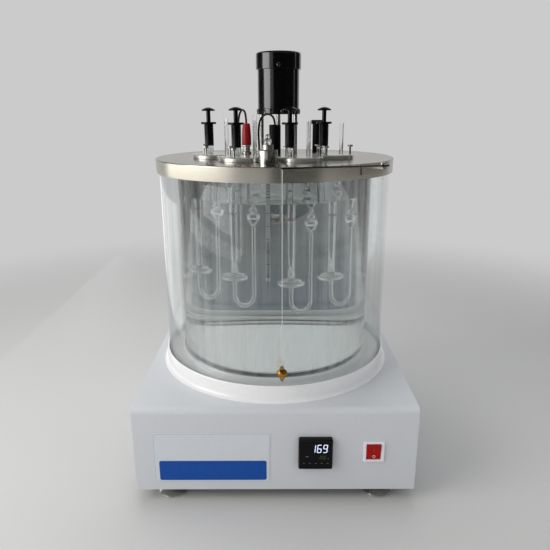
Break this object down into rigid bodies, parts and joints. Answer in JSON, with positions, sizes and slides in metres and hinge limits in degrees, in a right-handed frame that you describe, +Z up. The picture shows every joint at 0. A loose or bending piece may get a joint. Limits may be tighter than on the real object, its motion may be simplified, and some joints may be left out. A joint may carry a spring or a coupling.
{
  "type": "kinematic viscosity bath",
  "caption": "Bench viscosity bath: white base with controller, glass water jar in a clear cylinder, steel lid with stirrer motor, glass viscometers, suction pumps and a plumb line.",
  "frame": {"origin": "on the bench, under the middle of the base cabinet", "axes": "+Z up, front (controller and switch) towards -Y, +X to the right seen from the front"},
  "size_m": [0.4, 0.411, 0.6265],
  "materials": {
    "white_enamel": "white powder coat, semi-gloss",
    "zinc_plate": "zinc plated sheet",
    "clear_acrylic": "clear cast acrylic",
    "jar_glass": "clear moulded glass",
    "nameplate_film": "bare film with a blue bar",
    "black_moulding": "black moulding",
    "display_window": "dark gloss window",
    "white_moulding": "white moulding",
    "red_rocker": "translucent red moulding",
    "heat_sink": "extruded",
    "polished_chrome": "polished",
    "satin_steel": "satin spun",
    "black_gloss_enamel": "gloss black",
    "quartz": "clear quartz",
    "black_cable": "black sheath",
    "red_sleeve": "red sleeving",
    "thermometer_glass": "clear glass",
    "viscometer_glass": "blown glass",
    "black_gloss_moulding": "gloss black moulding",
    "thread": "white thread",
    "brass": "turned"
  },
  "bodies": {
    "base": {"base_cabinet": "white_enamel", "bottom_plate": "zinc_plate", "foot_nuts": "zinc_plate", "bath_collar": "white_enamel", "jar_seat": "white_enamel", "outer_cylinder": "clear_acrylic", "glass_jar": "jar_glass", "nameplate": "nameplate_film", "controller_case": "black_moulding", "controller_window": "display_window", "switch_bezel": "white_moulding", "mains_inlet": "black_moulding", "power_unit": "heat_sink"},
    "rocker": {"switch_rocker": "red_rocker"},
    "foot_1": {"levelling_foot_1": "polished_chrome"},
    "foot_2": {"levelling_foot_2": "polished_chrome"},
    "foot_3": {"levelling_foot_3": "polished_chrome"},
    "foot_4": {"levelling_foot_4": "polished_chrome"},
    "lid_unit": {"lid": "satin_steel", "motor_posts": "satin_steel", "motor_flange": "black_gloss_enamel", "motor_body": "black_gloss_enamel", "motor_cap": "black_gloss_enamel", "motor_screws": "polished_chrome", "heater_tube": "quartz", "heater_cap_left": "black_moulding", "heater_cap_right": "black_moulding", "heater_lead": "black_cable", "sensor_probe": "satin_steel", "sensor_head": "red_sleeve", "sensor_lead": "black_cable", "lead_grommets": "black_moulding", "thermometer_collar": "polished_chrome", "plumb_bracket": "black_gloss_enamel"},
    "thermometer_unit": {"thermometer": "thermometer_glass"},
    "stirrer": {"stirrer_shaft": "satin_steel", "impeller": "satin_steel"},
    "plumb_swing_arm": {"plumb_arm": "black_gloss_enamel"},
    "plumb_line": {"plumb_thread": "thread", "plumb_bob": "brass"},
    "station_1": {"holder_plate_1": "polished_chrome", "viscometer_1": "viscometer_glass", "suction_barrel_1": "black_gloss_moulding", "thumb_screws_1": "polished_chrome"},
    "plunger_1": {"suction_plunger_1": "black_gloss_moulding"},
    "station_2": {"holder_plate_2": "polished_chrome", "viscometer_2": "viscometer_glass", "suction_barrel_2": "black_gloss_moulding", "thumb_screws_2": "polished_chrome"},
    "plunger_2": {"suction_plunger_2": "black_gloss_moulding"},
    "station_3": {"holder_plate_3": "polished_chrome", "viscometer_3": "viscometer_glass", "suction_barrel_3": "black_gloss_moulding", "thumb_screws_3": "polished_chrome"},
    "plunger_3": {"suction_plunger_3": "black_gloss_moulding"},
    "station_4": {"holder_plate_4": "polished_chrome", "viscometer_4": "viscometer_glass", "suction_barrel_4": "black_gloss_moulding", "thumb_screws_4": "polished_chrome"},
    "plunger_4": {"suction_plunger_4": "black_gloss_moulding"}
  },
  "joints": [
    {"name": "switch_rock", "type": "hinge", "parent": "base", "child": "rocker", "pos_m": [0.1385, -0.201, 0.083], "axis": [-1, 0, 0], "range_deg": [0, 14]},
    {"name": "foot_1_adjust", "type": "slide", "parent": "base", "child": "foot_1", "axis": [0, 0, -1], "range_m": [0, 0.01]},
    {"name": "foot_2_adjust", "type": "slide", "parent": "base", "child": "foot_2", "axis": [0, 0, -1], "range_m": [0, 0.01]},
    {"name": "foot_3_adjust", "type": "slide", "parent": "base", "child": "foot_3", "axis": [0, 0, -1], "range_m": [0, 0.01]},
    {"name": "foot_4_adjust", "type": "slide", "parent": "base", "child": "foot_4", "axis": [0, 0, -1], "range_m": [0, 0.01]},
    {"name": "lid_lift", "type": "slide", "parent": "base", "child": "lid_unit", "axis": [0, 0, 1], "range_m": [0, 0.26]},
    {"name": "thermometer_lift", "type": "slide", "parent": "lid_unit", "child": "thermometer_unit", "axis": [0, 0, 1], "range_m": [0, 0.2]},
    {"name": "stirrer_spin", "type": "hinge", "parent": "lid_unit", "child": "stirrer", "pos_m": [0.0066, 0.008, 0.4], "axis": [0, 0, 1], "continuous": true},
    {"name": "station_1_lift", "type": "slide", "parent": "lid_unit", "child": "station_1", "axis": [0, 0, 1], "range_m": [0, 0.26]},
    {"name": "plunger_1_push", "type": "slide", "parent": "station_1", "child": "plunger_1", "axis": [0, 0, -1], "range_m": [0, 0.0152]},
    {"name": "station_2_lift", "type": "slide", "parent": "lid_unit", "child": "station_2", "axis": [0, 0, 1], "range_m": [0, 0.26]},
    {"name": "plunger_2_push", "type": "slide", "parent": "station_2", "child": "plunger_2", "axis": [0, 0, -1], "range_m": [0, 0.0152]},
    {"name": "station_3_lift", "type": "slide", "parent": "lid_unit", "child": "station_3", "axis": [0, 0, 1], "range_m": [0, 0.26]},
    {"name": "plunger_3_push", "type": "slide", "parent": "station_3", "child": "plunger_3", "axis": [0, 0, -1], "range_m": [0, 0.0152]},
    {"name": "station_4_lift", "type": "slide", "parent": "lid_unit", "child": "station_4", "axis": [0, 0, 1], "range_m": [0, 0.26]},
    {"name": "plunger_4_push", "type": "slide", "parent": "station_4", "child": "plunger_4", "axis": [0, 0, -1], "range_m": [0, 0.0152]},
    {"name": "plumb_arm_swing", "type": "hinge", "parent": "lid_unit", "child": "plumb_swing_arm", "pos_m": [0.13792, -0.1581, 0.4742], "axis": [0, 0, 1], "range_deg": [0, 100]},
    {"name": "plumb_line_swing", "type": "hinge", "parent": "plumb_swing_arm", "child": "plumb_line", "pos_m": [0.00963, -0.19024, 0.4742], "axis": [0, 1, 0], "range_deg": [-30, 30]}
  ]
}
